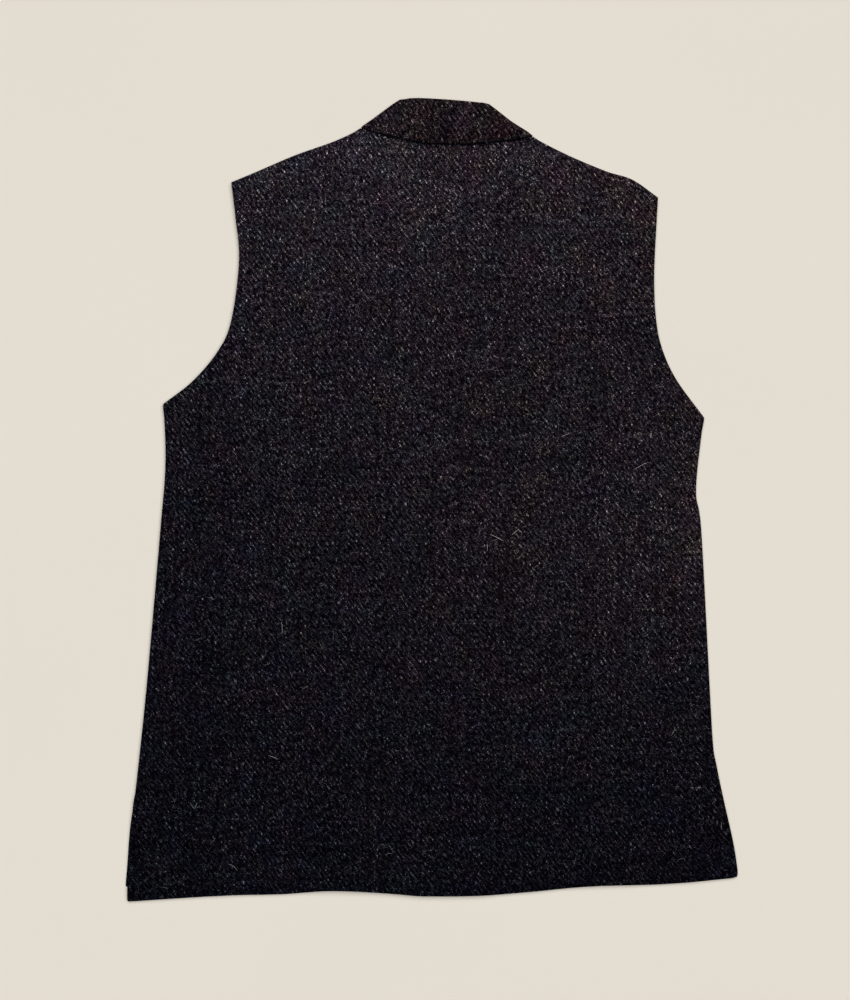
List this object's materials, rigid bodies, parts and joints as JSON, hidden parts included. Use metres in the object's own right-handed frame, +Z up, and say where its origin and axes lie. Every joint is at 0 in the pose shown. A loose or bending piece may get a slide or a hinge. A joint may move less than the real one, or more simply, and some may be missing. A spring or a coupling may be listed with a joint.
{
  "type": "nehru vest",
  "caption": "Sleeveless wool vest with a stand collar and side vents, buttoned and laid flat with its back up.",
  "frame": {"origin": "centre of the bounding box at the surface that the garment lies on", "axes": "+Y from the hem to the collar, +X to the right when the back is looked down on, +Z up out of the back"},
  "size_m": [0.6006, 0.7882, 0.0099],
  "materials": {
    "tweed": "dark charcoal wool twill with light flecks",
    "button": "dark horn look, satin"
  },
  "bodies": {
    "root": {"back_left": "tweed", "back_right": "tweed", "front_left": "tweed", "front_right": "tweed", "collar": "tweed", "button_1": "button", "button_2": "button", "button_3": "button", "button_4": "button", "button_5": "button"}
  },
  "joints": []
}
